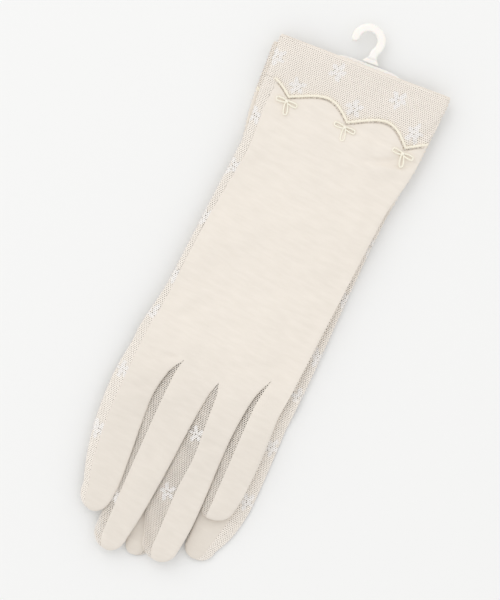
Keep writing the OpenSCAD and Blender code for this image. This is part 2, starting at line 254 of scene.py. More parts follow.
def tube(path: Array, radius: Array, around: int, twist: float = 0.0,
         lobe: float = 0.0) -> Array:
    """Round tube along a path: a circle carried along it, with optional turning strands.

    The circle at each point stands on the path's direction, with its first axis kept level. Its
    radius is radius times (1 + lobe cos(2 angle - twist times the length so far)).

    Args:
        path: Points in mm.
        radius: Radius at each point.
        around: Points round the circle.
        twist: Turn of the strands in radians per mm.
        lobe: Height of the strands as a share of the radius.

    Returns:
        Grid of points (along, around).
    """
    d = np.gradient(path, axis=0)
    d /= np.maximum(np.linalg.norm(d, axis=1, keepdims=True), 1e-9)
    side = np.cross(d, [0, 0, 1.0])
    side /= np.maximum(np.linalg.norm(side, axis=1, keepdims=True), 1e-9)
    up = np.cross(side, d)
    steps = np.linalg.norm(np.diff(path, axis=0), axis=1)
    run = np.concatenate([[0], np.cumsum(steps)])[:, None]
    a = np.linspace(0, 2 * math.pi, around, endpoint=False)[None, :]
    r = radius[:, None] * (1 + lobe * np.cos(2 * a - twist * run))
    return (path[:, None, :] + r[..., None] * (np.cos(a)[..., None] * side[:, None, :]
            + np.sin(a)[..., None] * up[:, None, :]))


def tubes_mesh(name: str, cloth: Cloth, grids: list[Array]) -> bpy.types.Object:
    """One object from several closed tubes whose ends shrink to points."""
    points, faces, start = [], [], 0
    for grid in grids:
        rows, cols = grid.shape[:2]
        points.append(grid.reshape(-1, 3))
        faces.append(grid_faces(rows, cols, closed=True) + start)
        start += rows * cols
    world = cloth.world(np.concatenate(points))
    return add_mesh(name, world, np.concatenate(faces)[:, ::-1], cloth.side is Side.RIGHT)


# ---------------------------------------------------------------- net lace


@dataclass(frozen=True)
class Net:
    """Hexagonal net with motifs darned into it. Holes are shares of a cell's width."""

    pitch: float = 1.05
    hole: float = 0.58
    darned_hole: float = 0.20
    open_hole: float = 0.64
    ridge: float = 0.09
    motif_r: float = 4.2

    def darned(self, a: Array, v: Array, motifs: tuple) -> tuple[Array, Array]:
        """Shares of darning and of open cells round it.

        A motif has five petals, r below motif_r times a five-fold cosine. The cells along the
        petals' outline and in the middle are open.

        Args:
            a: Places across the cloth.
            v: Places along the cloth.
            motifs: Centres of the motifs.

        Returns:
            The share of darning and the share of open cells, 0 or 1.
        """
        share, opened = np.zeros_like(a), np.zeros_like(a)
        for number, (ma, mv) in enumerate(motifs):
            dx, dy = a - ma, v - mv
            r, t = np.hypot(dx, dy * 0.86), np.arctan2(dy, dx)
            petal = self.motif_r * (0.64 + 0.36 * np.cos(5 * t + number))
            share = np.maximum(share, ((r < petal) & (r > 0.8)) * 1.0)
            rim = (np.abs(r - petal - 0.4) < 0.35) & (np.cos(5 * t + number) < 0.2)
            opened = np.maximum(opened, (rim | (r < 0.6)) * 1.0)
        return share, opened

    def make(self, name: str, cloth: Cloth, mapping: Mapping, box: tuple, inside: Mask,
             motifs: tuple = (), solid: bool = False) -> bpy.types.Object:
        """Net over flat cloth: each cell is a hexagon with a hexagonal hole.

        The outer corners lie on the threads' middle lines, raised by the ridge, and are shared
        between cells. The inner corners are the outer ones drawn towards the cell's centre.

        Args:
            name: Piece name.
            cloth: Frame of the glove.
            mapping: Cloth coordinates in mm to points in the glove's frame in mm.
            box: Lowest a, highest a, lowest v and highest v of the cloth.
            inside: Whether a cell centre is kept.
            motifs: Centres of the motifs on the cloth.
            solid: Whether the threads get an underside too.

        Returns:
            The new object.
        """
        p = self.pitch
        a0, a1, v0, v1 = box
        rows = int((v1 - v0) / (p * math.sqrt(3) / 2)) + 2
        cols = int((a1 - a0) / p) + 2
        j, i = np.meshgrid(np.arange(rows), np.arange(cols), indexing="ij")
        ca = (a0 + p * (i + 0.5 * (j % 2))).ravel()
        cv = (v0 + p * math.sqrt(3) / 2 * j).ravel()
        keep = inside(ca, cv)
        ca, cv = ca[keep], cv[keep]
        turn = np.radians(30 + 60 * np.arange(6))
        r = p / math.sqrt(3)
        oa = ca[:, None] + r * np.cos(turn)
        ov = cv[:, None] + r * np.sin(turn)
        key = np.round(np.stack([oa, ov], 2).reshape(-1, 2) * 50).astype(np.int64)
        _, first, back = np.unique(key, axis=0, return_index=True, return_inverse=True)
        back = back.reshape(-1, 6)
        dark, opened = self.darned(ca, cv, motifs)
        hole = mix(mix(self.hole, self.darned_hole, dark), self.open_hole, opened)[:, None]
        ia = ca[:, None] + (oa - ca[:, None]) * hole
        iv = cv[:, None] + (ov - cv[:, None]) * hole
        outer_a, outer_v = oa.reshape(-1)[first], ov.reshape(-1)[first]
        outer = mapping(outer_a, outer_v)
        inner = mapping(ia.ravel(), iv.ravel())
        step = 0.3
        na = mapping(outer_a + step, outer_v) - mapping(outer_a - step, outer_v)
        nv = mapping(outer_a, outer_v + step) - mapping(outer_a, outer_v - step)
        n = np.cross(na, nv)
        n /= np.maximum(np.linalg.norm(n, axis=1, keepdims=True), 1e-9)
        high = outer + n * self.ridge
        low = outer - n * self.ridge
        count = len(high)
        ids = np.arange(len(ca) * 6).reshape(-1, 6) + count
        nxt_o, nxt_i = np.roll(back, -1, 1), np.roll(ids, -1, 1)
        faces = np.stack([back, nxt_o, nxt_i, ids], 2).reshape(-1, 4)
        points = [high, inner]
        tint = [np.zeros(count), np.repeat(dark, 6)]
        np.maximum.at(tint[0], back.ravel(), np.repeat(dark, 6))
        if solid:
            under = back + count + len(ids) * 6
            nxt_u = np.roll(under, -1, 1)
            faces = np.concatenate([faces, np.stack([under, ids, nxt_i, nxt_u], 2).reshape(-1, 4)])
            points.append(low)
            tint.append(tint[0])
        world = cloth.world(np.concatenate(points))
        return add_mesh(name, world, faces, cloth.side is Side.RIGHT, None, np.concatenate(tint))


# ---------------------------------------------------------------- finishes


def srgb(code: str) -> tuple[float, float, float, float]:
    """Linear colour of an sRGB hex value."""
    parts = [int(code[i : i + 2], 16) / 255 for i in (0, 2, 4)]
    linear = [c / 12.92 if c <= 0.04045 else ((c + 0.055) / 1.055) ** 2.4 for c in parts]
    return (*linear, 1.0)


def add_node(tree: bpy.types.NodeTree, kind: str, links: dict | None = None,
             **settings: object) -> bpy.types.Node:
    """Adds a node, sets its properties and input values, and links its inputs.

    Args:
        tree: Node tree of the material.
        kind: Node type.
        links: Input name to the socket that feeds it.
        **settings: Properties by name; names starting with in_ are input values.

    Returns:
        The new node.
    """
    node = tree.nodes.new(kind)
    for name, value in settings.items():
        if name.startswith("in_"):
            node.inputs[name[3:].replace("_", " ")].default_value = value
        else:
            setattr(node, name, value)
    for name, socket in (links or {}).items():
        tree.links.new(socket, node.inputs[name])
    return node


def new_material(name: str) -> tuple[bpy.types.Material, bpy.types.NodeTree, bpy.types.Node]:
    """A node material with its Principled shader."""
    material = bpy.data.materials.new(name)
    material.use_nodes = True
    tree = material.node_tree
    return material, tree, tree.nodes["Principled BSDF"]


def two_tones(tree: bpy.types.NodeTree, factor: bpy.types.NodeSocket, dark: tuple,
              light: tuple) -> bpy.types.NodeSocket:
    """Mixes two linear colours by a factor, and gives the socket of the result."""
    ramp = add_node(tree, "ShaderNodeMix", {"Factor": factor}, data_type="RGBA")
    ramp.inputs["A"].default_value = dark
    ramp.inputs["B"].default_value = light
    return ramp.outputs["Result"]


def dress_shader(tree: bpy.types.NodeTree, shader: bpy.types.Node,
                 colour: bpy.types.NodeSocket, height: bpy.types.NodeSocket, bump: tuple,
                 **values: float) -> None:
    """Links a colour and a bump to the shader, and sets its input values.

    Args:
        tree: Node tree of the material.
        shader: Its Principled shader.
        colour: Socket of the base colour.
        height: Socket of the bump's height.
        bump: Strength of the bump, and its height in mm.
        **values: Shader input values by name, with _ for a space.
    """
    tree.links.new(colour, shader.inputs["Base Color"])
    relief = add_node(tree, "ShaderNodeBump", {"Height": height}, in_Strength=bump[0],
                      in_Distance=bump[1] * MM)
    tree.links.new(relief.outputs["Normal"], shader.inputs["Normal"])
    for name, value in values.items():
        shader.inputs[name.replace("_", " ")].default_value = value


@dataclass(frozen=True)
class JerseyFinish:
    """Fine nylon tricot, heat set: matt, with a soft bloom at grazing angles.

    Wales are drawn 1.75 mm apart, wider than the real ones, so that they show. Faint lighter
    and darker streaks, 10 mm by 2.5 mm along the courses, are partly the cloth's own streaks
    and partly painted shade of the slack's soft folds. From tone_from, below the knuckles, the
    colour is multiplied by a pale grey over tone_over: painted shade on the fingers.
    """

    name: str
    light: str
    dark: str
    # Pale grey that darkens the fingers' jersey: painted shade.
    finger_shade: str = "F8F8F8"
    tone_from: float = -31.0
    tone_over: float = 40.0

    def make(self) -> bpy.types.Material:
        """Builds the material."""
        material, tree, shader = new_material(self.name)
        uv = add_node(tree, "ShaderNodeUVMap", uv_map="cloth_mm")
        coord = add_node(tree, "ShaderNodeTexCoord")
        along = add_node(tree, "ShaderNodeMapping", {"Vector": uv.outputs["UV"]},
                         in_Scale=(1 / 10, 1 / 2.5, 1.0), in_Rotation=(0.0, 0.0, 0.2))
        # Painted shade: the light and dark streaks stand partly for the shade of the slack's
        # folds.
        streak_and_fold_shade_noise = add_node(tree, "ShaderNodeTexNoise", {"Vector": along.outputs["Vector"]},
                         in_Scale=1.0, in_Detail=4.0, in_Roughness=0.6)
        streaks_and_fold_shade = two_tones(tree, streak_and_fold_shade_noise.outputs["Fac"], srgb(self.dark), srgb(self.light))
        # Painted shade: from tone_from down the fingers the colour is multiplied by the pale grey.
        place = add_node(tree, "ShaderNodeSeparateXYZ", {"Vector": coord.outputs["Object"]})
        reach = add_node(tree, "ShaderNodeMath", {0: place.outputs["Y"]},
                         operation="MULTIPLY_ADD", use_clamp=True)
        reach.inputs[1].default_value = -1 / (self.tone_over * MM)
        reach.inputs[2].default_value = self.tone_from / self.tone_over
        tone = add_node(tree, "ShaderNodeMix", {"Factor": reach.outputs[0]},
                        data_type="RGBA", blend_type="MULTIPLY")
        tree.links.new(streaks_and_fold_shade, tone.inputs["A"])
        tone.inputs["B"].default_value = srgb(self.finger_shade)
        wales = add_node(tree, "ShaderNodeTexWave", {"Vector": uv.outputs["UV"]}, in_Scale=0.18,
                         in_Distortion=1.2, in_Detail=2.0)
        grain = add_node(tree, "ShaderNodeTexNoise", {"Vector": coord.outputs["Object"]},
                         in_Scale=1 / (0.7 * MM), in_Detail=2.0)
        rough = add_node(tree, "ShaderNodeMath", {0: wales.outputs["Fac"],
                         1: grain.outputs["Fac"]}, operation="ADD")
        dress_shader(tree, shader, tone.outputs["Result"], rough.outputs[0], (0.12, 0.05),
                Roughness=0.85, IOR=1.53, Specular_IOR_Level=0.25, Sheen_Weight=0.25,
                Sheen_Roughness=0.5)
        return material


@dataclass(frozen=True)
class NetFinish:
    """Nylon net with darned motifs: matt cream threads, whiter where the darning lies."""

    name: str
    thread: str
    darning: str

    def make(self) -> bpy.types.Material:
        """Builds the material."""
        material, tree, shader = new_material(self.name)
        share = add_node(tree, "ShaderNodeAttribute", attribute_name="darning")
        colour = two_tones(tree, share.outputs["Fac"], srgb(self.thread), srgb(self.darning))
        coord = add_node(tree, "ShaderNodeTexCoord")
        fibre = add_node(tree, "ShaderNodeTexNoise", {"Vector": coord.outputs["Object"]},
                         in_Scale=1 / (0.4 * MM), in_Detail=1.0)
        dress_shader(tree, shader, colour, fibre.outputs["Fac"], (0.3, 0.08), Roughness=0.7,
                IOR=1.53, Specular_IOR_Level=0.3, Sheen_Weight=0.2)
        return material


@dataclass(frozen=True)
class SatinFinish:
    """Rayon thread, twisted and satin bright: a soft gloss broken by its fibres, and a darker
    mottle that is partly fibre tone and partly painted shade of the twisted strands.
    """

    name: str
    colour: str
    roughness: float = 0.42

    def make(self) -> bpy.types.Material:
        """Builds the material."""
        material, tree, shader = new_material(self.name)
        coord = add_node(tree, "ShaderNodeTexCoord")
        fibre = add_node(tree, "ShaderNodeTexNoise", {"Vector": coord.outputs["Object"]},
                         in_Scale=1 / (0.5 * MM), in_Detail=2.0)
        base = srgb(self.colour)
        # Painted shade: the darker mottle stands partly for shade between the twisted strands.
        shade = tuple(c * 0.9 for c in base[:3]) + (1.0,)
        dress_shader(tree, shader, two_tones(tree, fibre.outputs["Fac"], shade, base),
                fibre.outputs["Fac"], (0.4, 0.1), Roughness=self.roughness, IOR=1.53,
                Sheen_Weight=0.3)
        return material


@dataclass(frozen=True)
class PolypropyleneFinish:
    """White polypropylene, injection moulded: waxy, with a faint mottle from the mould."""

    name: str = "moulded white polypropylene"

    def make(self) -> bpy.types.Material:
        """Builds the material."""
        material, tree, shader = new_material(self.name)
        coord = add_node(tree, "ShaderNodeTexCoord")
        mottle = add_node(tree, "ShaderNodeTexNoise", {"Vector": coord.outputs["Object"]},
                          in_Scale=1 / (2.5 * MM), in_Detail=3.0)
        colour = two_tones(tree, mottle.outputs["Fac"], srgb("FAF6EF"), srgb("FDFBF6"))
        dress_shader(tree, shader, colour, mottle.outputs["Fac"], (0.1, 0.1), Roughness=0.36,
                IOR=1.49, Subsurface_Weight=0.1, Subsurface_Scale=1.5 * MM)
        return material


# ---------------------------------------------------------------- shape of a glove


@dataclass
class Finger:
    """One finger: places across the hand, in mm, at shares of its reach.

    lace is the outer edge of its fourchette, seam the edge of its jersey, and edge the folded
    side towards the little finger.
    """

    name: str
    reach: float
    lace: tuple
    seam: tuple
    edge: tuple
    tip_x: float
    tip_from: float


@dataclass
class Crease:
    """A soft fold from one point to another: depth in mm, negative for a furrow."""

    a: tuple
    b: tuple
    width: float
    depth: float


@dataclass
class GloveShape:
    """Sizes of one glove in mm, as the record's parts have them."""

    side: Side
    fingers: tuple
    lean_start: float
    creases: tuple = ()
    slack_share: float = 0.008
    crown: float = 0.65
    swell: float = 0.35
    sink: float = 0.3
    deepest: float = -0.85
    trim_lift: float = 0.42
    wrist_w: float = 80.6
    flare: float = 3.2
    flare_l: float = 38.0
    hand_l: float = 148.0
    cuff_w: float = 88.0
    cuff_l: float = 28.6
    widen_l: float = 38.0
    lean: float = math.radians(6.8)
    lean_l: float = 30.0
    scallop_pitch: float = 31.8
    scallop_h: float = 7.2
    scallop_low: float = 1.0
    scallop_skew: float = 0.9
    valley: float = 2.6
    mouth_w: float = 2.2
    mouth_l: float = 26.0
    split_v: float = 16.0
    slits: tuple = (4.0, 2.0, 15.0)
    lines: tuple = (-15.4, 5.2, 28.2)
    thickness: float = 0.45
    top_z: float = 3.2
    shoulder: float = 3.0
    rim_r: float = 0.9
    closing: float = 2.2
    closing_l: float = 6.0
    wrap_v: tuple = (0.0, 33.0, 78.0, 106.0, 133.0, 151.0, 177.0)
    wrap_w: tuple = (5.0, 2.4, 2.4, 4.0, 4.3, 6.0, 6.5)

    @property
    def cuff_top(self) -> float:
        """Length from the knuckle fold to the top of the cuff."""
        return self.hand_l + self.cuff_l

    def half_w(self, v: Array) -> Array:
        """Half the sleeve's width: the wrist's, easing out to the cuff's up to the scallops."""
        grow = ease((v - self.hand_l + self.widen_l) / self.widen_l)
        return self.wrist_w / 2 + (self.cuff_w - self.wrist_w) / 2 * grow

    def wrap(self, v: Array) -> Array:
        """Width of the lace that shows on the back, along the index side."""
        return smooth_curve(self.wrap_v, self.wrap_w, v)

    def place(self, s: Array, v: Array) -> tuple[Array, Array]:
        """Flat place of the point at s mm from the hand's axis and v along it.

        The sleeve leans sideways: its middle line is a parabola while the lean grows, then
        straight, and each row turns square to it. The knuckles flare on the index side, and the
        mouth on the other.
        """
        sign = 1 if self.side is Side.LEFT else -1
        share = np.clip((v - self.lean_start) / self.lean_l, 0, 1)
        a = sign * self.lean * share
        past = np.maximum(0, v - self.lean_start - self.lean_l)
        middle = -sign * math.tan(self.lean) * (share**2 * self.lean_l / 2 + past)
        u = s / self.half_w(v)
        flare = self.flare * ease(1 - v / self.flare_l) * (1 - u) / 2
        mouth = self.mouth_w * ease((v - self.hand_l) / self.mouth_l) * (1 + u) / 2
        return middle + s * np.cos(a) - flare + mouth, v + s * np.sin(a)

    def scallop(self, s: Array) -> Array:
        """Height of the scalloped seam: half sine waves that meet in valleys, leaning a little."""
        u = np.mod((s - self.valley) / self.scallop_pitch, 1.0)
        return (self.hand_l - self.scallop_low + self.scallop_h * np.sin(math.pi * u)
                - self.scallop_skew * np.sin(2 * math.pi * u))

    def low_z(self, v: Array) -> Array:
        """Lower face: it lies over the thumb, and sinks at the fingers and, below, at the cuff."""
        return 0.35 + 1.15 * ease(v / 18) * (1 - self.sink * ease((v - 118) / 40))

    def wrinkle(self, x: Array, y: Array) -> Array:
        """Soft folds of the slack jersey: bell curves across each crease, fading at its ends."""
        out = self.slack(x, y)
        for c in self.creases:
            ax, ay = c.a
            dx, dy = c.b[0] - ax, c.b[1] - ay
            length = math.hypot(dx, dy)
            along = ((x - ax) * dx + (y - ay) * dy) / length**2
            across = ((x - ax) * dy - (y - ay) * dx) / length
            near = np.clip(along, 0, 1)
            far = (along - near) * length
            out = out + c.depth * np.exp(-(across**2) / c.width**2) * np.exp(
                -(far**2) / (2.5 * c.width) ** 2) * np.sin(math.pi * mix(0.12, 0.88, near))
        return np.logaddexp(3 * out, 3 * self.deepest) / 3

    def slack(self, x: Array, y: Array) -> Array:
        """Slow waves of slack cloth.

        Seven sine waves whose directions turn by the golden angle; wavelengths grow from 13 mm
        by a quarter each time, and each wave is slack_share of its wavelength high.
        """
        out = np.zeros(np.broadcast(x, y).shape)
        for n in range(7):
            length = 13.0 * 1.25**n
            turn = n * math.radians(137.5) + 0.4
            run = x * math.cos(turn) + y * math.sin(turn)
            bend = 0.9 * np.sin((y * math.cos(turn) - x * math.sin(turn)) / length * 2.3 + n)
            out = out + self.slack_share * length * np.sin(2 * math.pi * run / length + bend)
        return out

    def fold(self, d: Array) -> tuple[Array, Array]:
        """Rounded side: quarter of a superellipse from the fold (d = 0) to the flat.

        Args:
            d: Distance round the cloth from the fold.

        Returns:
            How far the cloth has come in from the fold, and how much of the height it has.
        """
        t = np.linspace(0, math.pi / 2, 60)
        across = self.shoulder * (1 - np.cos(t) ** 0.9)
        up = self.rim_r * np.sin(t) ** 0.9
        run = np.concatenate([[0], np.cumsum(np.hypot(np.diff(across), np.diff(up)))])
        extra = np.maximum(0, d - run[-1])
        return np.interp(d, run, across) + extra, np.interp(d, run, up) / self.rim_r

    def face_z(self, s: Array, v: Array) -> Array:
        """Height of the hand's back at s mm from its axis, without its wrinkles."""
        low, w = self.low_z(v), self.half_w(v)
        mid = (low + self.top_z) / 2
        t = np.linspace(0, math.pi / 2, 60)
        share = np.interp(w - np.abs(s), self.shoulder * (1 - np.cos(t) ** 0.9),
                          np.sin(t) ** 0.9)
        return mid + (self.top_z - mid) * share + self.swell * np.clip(1 - (s / w) ** 2, 0, 1)

    def back(self, d: Array, v: Array, from_index: bool) -> Array:
        """Point of the hand's back, at a distance round the cloth from a folded side.

        Args:
            d: Distance from the fold over the back, negative under the palm.
            v: Place along the hand.
            from_index: Whether d is from the index side.

        Returns:
            Points in the glove's frame.
        """
        low, w = self.low_z(v), self.half_w(v)
        mid = (low + self.top_z) / 2
        come, share = self.fold(np.abs(d))
        s = (w - come) * (-1 if from_index else 1)
        up = np.where(d >= 0, self.top_z - mid, low - mid)
        x, y = self.place(s, v)
        full = self.swell * np.clip(1 - (s / w) ** 2, 0, 1) * (d >= 0)
        z = mid + up * share + full + np.where(d >= 0, self.wrinkle(x, y) * share, 0)
        return np.stack([x, y, z], -1)


@dataclass
class FingerSurface:
    """Surfaces of one finger, with its root in the hand up to the split line."""

    glove: GloveShape
    number: int
    roll: float = 1.5

    @property
    def finger(self) -> Finger:
        """The finger's sizes."""
        return self.glove.fingers[self.number]

    def edges(self, y: Array) -> tuple[Array, Array, Array]:
        """Places across of the lace edge, the seam and the folded edge at y.

        Above the knuckles they run to the lines where the finger meets its neighbours, and at
        the tip all three draw in to one point on quarter ellipses.
        """
        f, g, k = self.finger, self.glove, self.number
        t = -y / f.reach
        body = np.clip(t, 0, f.tip_from)
        lace, seam, edge = (smooth_curve(STATIONS, c, body) for c in (f.lace, f.seam, f.edge))
        tau = np.clip((t - f.tip_from) / (1 - f.tip_from), 0, 1)
        shrink = np.clip(1 - tau**2.2, 0, 1) ** 0.5
        lace, seam, edge = (f.tip_x + (c - f.tip_x) * shrink for c in (lace, seam, edge))
        w = g.half_w(y)
        root = ease(y / g.split_v)
        if k == 0:
            lace = mix(lace, g.place(-w, y)[0], root)
            seam = mix(seam, g.place(g.wrap(y) - w, y)[0], root)
        else:
            shut = self.shut(k - 1, y)
            seam = mix(seam, self.line(k - 1), shut)
            lace = mix(lace, self.line(k - 1), shut)
        if k == 3:
            edge = mix(edge, g.place(w, y)[0], root)
        else:
            edge = mix(edge, self.line(k), self.shut(k, y))
        return lace, seam, edge

    def shut(self, k: int, y: Array) -> Array:
        """How far slit k has closed: a power of the way from below the knuckles to its top."""
        g = self.glove
        return np.clip((y + g.closing_l) / (g.slits[k] + g.closing_l), 0, 1) ** g.closing

    def line(self, k: int) -> float:
        """Line between finger k and the next one, above the slit between them."""
        return self.glove.lines[k]

    def openness(self, y: Array) -> tuple[Array, Array]:
        """How far the finger stands free at its index side and at its folded side, 0 to 1."""
        g, k = self.glove, self.number
        outer = ease((g.split_v - y) / 20)
        left = outer if k == 0 else ease((g.slits[k - 1] - y) / 10)
        right = outer if k == 3 else ease((g.slits[k] - y) / 10)
        return left, right

    def tip(self, y: Array) -> Array:
        """How far the fingertip has closed: 1 along the finger, 0 at its end."""
        f = self.finger
        tau = np.clip((-y / f.reach - f.tip_from) / (1 - f.tip_from), 0, 1)
        return np.clip(1 - tau**2.4, 0, 1) ** 0.5

    def top_z(self, x: Array, y: Array) -> Array:
        """Height of the upper face at x.

        From the lace edge the fourchette climbs on a quarter sine to the jersey, which is
        crowned as a half sine and turns down in a rounded fold at its far edge. Where the
        finger isn't free the hand's flat face takes over.
        """
        g = self.glove
        lace, seam, edge = self.edges(y)
        free_l, free_r = self.openness(y)
        width = np.maximum(edge - lace, 1e-3)
        q = np.clip((x - lace) / width, 0, 1)
        climb = np.maximum(seam - lace, 0.3) + 0.22 * width
        rise = np.sin(math.pi / 2 * np.clip((x - lace) / climb, 0, 1)) ** 0.8
        low_l = 0.75 if self.number else 1.3
        crown = g.crown * np.sin(math.pi * q)
        end = np.clip((x - (edge - self.roll)) / self.roll, 0, 1)
        drop = (1 - np.sqrt(np.clip(1 - end**2, 0, 1))) * 1.1
        alone = mix(low_l, g.top_z, rise) + crown - drop
        flare = g.flare * ease(1 - y / g.flare_l) * 0.5
        s = np.clip(x + flare * (1 - x / g.half_w(y)), -g.half_w(y), g.half_w(y))
        held = mix(1.0, rise, free_l) * (1 - end**2 if self.number == 3 else 1.0)
        z = mix(g.face_z(s, y), alone, mix(free_l, free_r, q)) + g.wrinkle(x, y) * held
        return mix(1.7, z, self.tip(y))

    def palm_z(self, x: Array, y: Array) -> Array:
        """Height of the lower face: flat, turned up to meet the upper face at both edges."""
        lace, _, edge = self.edges(y)
        free_l, free_r = self.openness(y)
        low = self.glove.low_z(y)
        left = np.clip(1 - (x - lace) / 2.0, 0, 1) ** 2 * free_l
        right = np.clip(1 - (edge - x) / 3.0, 0, 1) ** 2 * free_r
        lift = left * (0.45 if self.number else 0.9) + right * 1.45
        return mix(1.7, low + lift, self.tip(y))

    def rows(self, count: int) -> Array:
        """Rows from the split line to the tip, closer together towards the tip."""
        f = self.finger
        long = np.linspace(self.glove.split_v, -f.reach * f.tip_from, count)
        angle = np.linspace(0, math.pi / 2, 16)[1:]
        return np.concatenate([long, -f.reach * mix(f.tip_from, 1.0, np.sin(angle))])

    def jersey(self) -> tuple[Array, Array]:
        """Grid of the jersey back: from the seam over the crown, round the fold and under."""
        y = self.rows(int(self.finger.reach + self.glove.split_v))[:, None]
        _, seam, edge = self.edges(y)
        over = np.concatenate([np.linspace(0, 0.86, 22), 1 - 0.14 * (1 - np.sin(
            np.linspace(0.12, 1, 8) * math.pi / 2))])[None, :]
        x = mix(seam, edge, over)
        z = self.top_z(x, y)
        under_q = np.array([0.15, 0.45, 0.9])[None, :]
        free_r = self.openness(y)[1]
        x_under = edge - under_q * self.tip(y) * free_r
        fold_z = self.top_z(edge + 0 * under_q, y)
        sink = mix(under_q, np.sqrt(under_q / 0.9) * 0.5, free_r)
        z_under = fold_z - sink * self.tip(y) - 0.02
        points = np.concatenate([
            np.stack([x, y + 0 * x, z], -1),
            np.stack([x_under, y + 0 * x_under, z_under], -1)], axis=1)
        return points, points[..., :2]

    def side_map(self, a: Array, v: Array) -> Array:
        """Fourchette: a is the distance from the seam, towards the lace edge."""
        lace, seam, _ = self.edges(v)
        free = seam + 0.5 - a * 0.92
        x = np.maximum(free, lace)
        spill = np.maximum(0, lace - free)
        return np.stack([x, v, self.top_z(x, v) - 0.12 - spill * 0.5], -1)

    def palm_map(self, a: Array, v: Array) -> Array:
        """Palm: a is the place across the hand, with the face turned down."""
        lace, _, edge = self.edges(v)
        x = np.clip(-a, np.minimum(lace, edge), edge)
        return np.stack([x, v, self.palm_z(x, v)], -1)


# ---------------------------------------------------------------- the parts


@dataclass
class Kit:
    """Finishes that every part shares."""

    jersey: bpy.types.Material
    # The lower glove's jersey, darker: painted shade.
    shaded_lower_jersey: bpy.types.Material
    net: bpy.types.Material
    hem: bpy.types.Material
    cord: bpy.types.Material
    flower: bpy.types.Material
    plastic: bpy.types.Material
    mesh: Net = field(default_factory=Net)
    close: Net = field(default_factory=lambda: Net(hole=0.21, open_hole=0.42, darned_hole=0.12))


def node_of(obj: bpy.types.Object) -> str:
    """CAD node that a piece is named after."""
    return obj.name.split(".")[0]


def surface_area(obj: bpy.types.Object) -> float:
    """Area of all faces in square metres."""
    areas = np.empty(len(obj.data.polygons))
    obj.data.polygons.foreach_get("area", areas)
    return float(areas.sum())


def finish_piece(obj: bpy.types.Object, material: bpy.types.Material,
                 nodes: tuple, flat: tuple | None = None, closed: bool = True) -> bpy.types.Object:
    """Dresses a piece, hides the CAD nodes it stands for, and works out a sheet's area.

    The area is that of the surface as built, halved when the mesh has both faces; nothing uses
    it. The area declared is that of the surface as built, held between 0.31 and 1 times the
    cut's. It isn't measured on flat cloth, so a sheet's stretch is not tested by it.

    Args:
        obj: The piece.
        material: Its finish.
        nodes: CAD nodes that it stands for.
        flat: Cut width and length of a sheet in mm.
        closed: Whether a sheet's mesh has both faces.

    Returns:
        The piece.
    """
    obj.data.materials.append(material)
    if nodes:
        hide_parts(*nodes)
    if flat is not None:
        area = surface_area(obj) / (2 if closed else 1)
    log.info("%s: %d faces", obj.name, len(obj.data.polygons))
    return obj


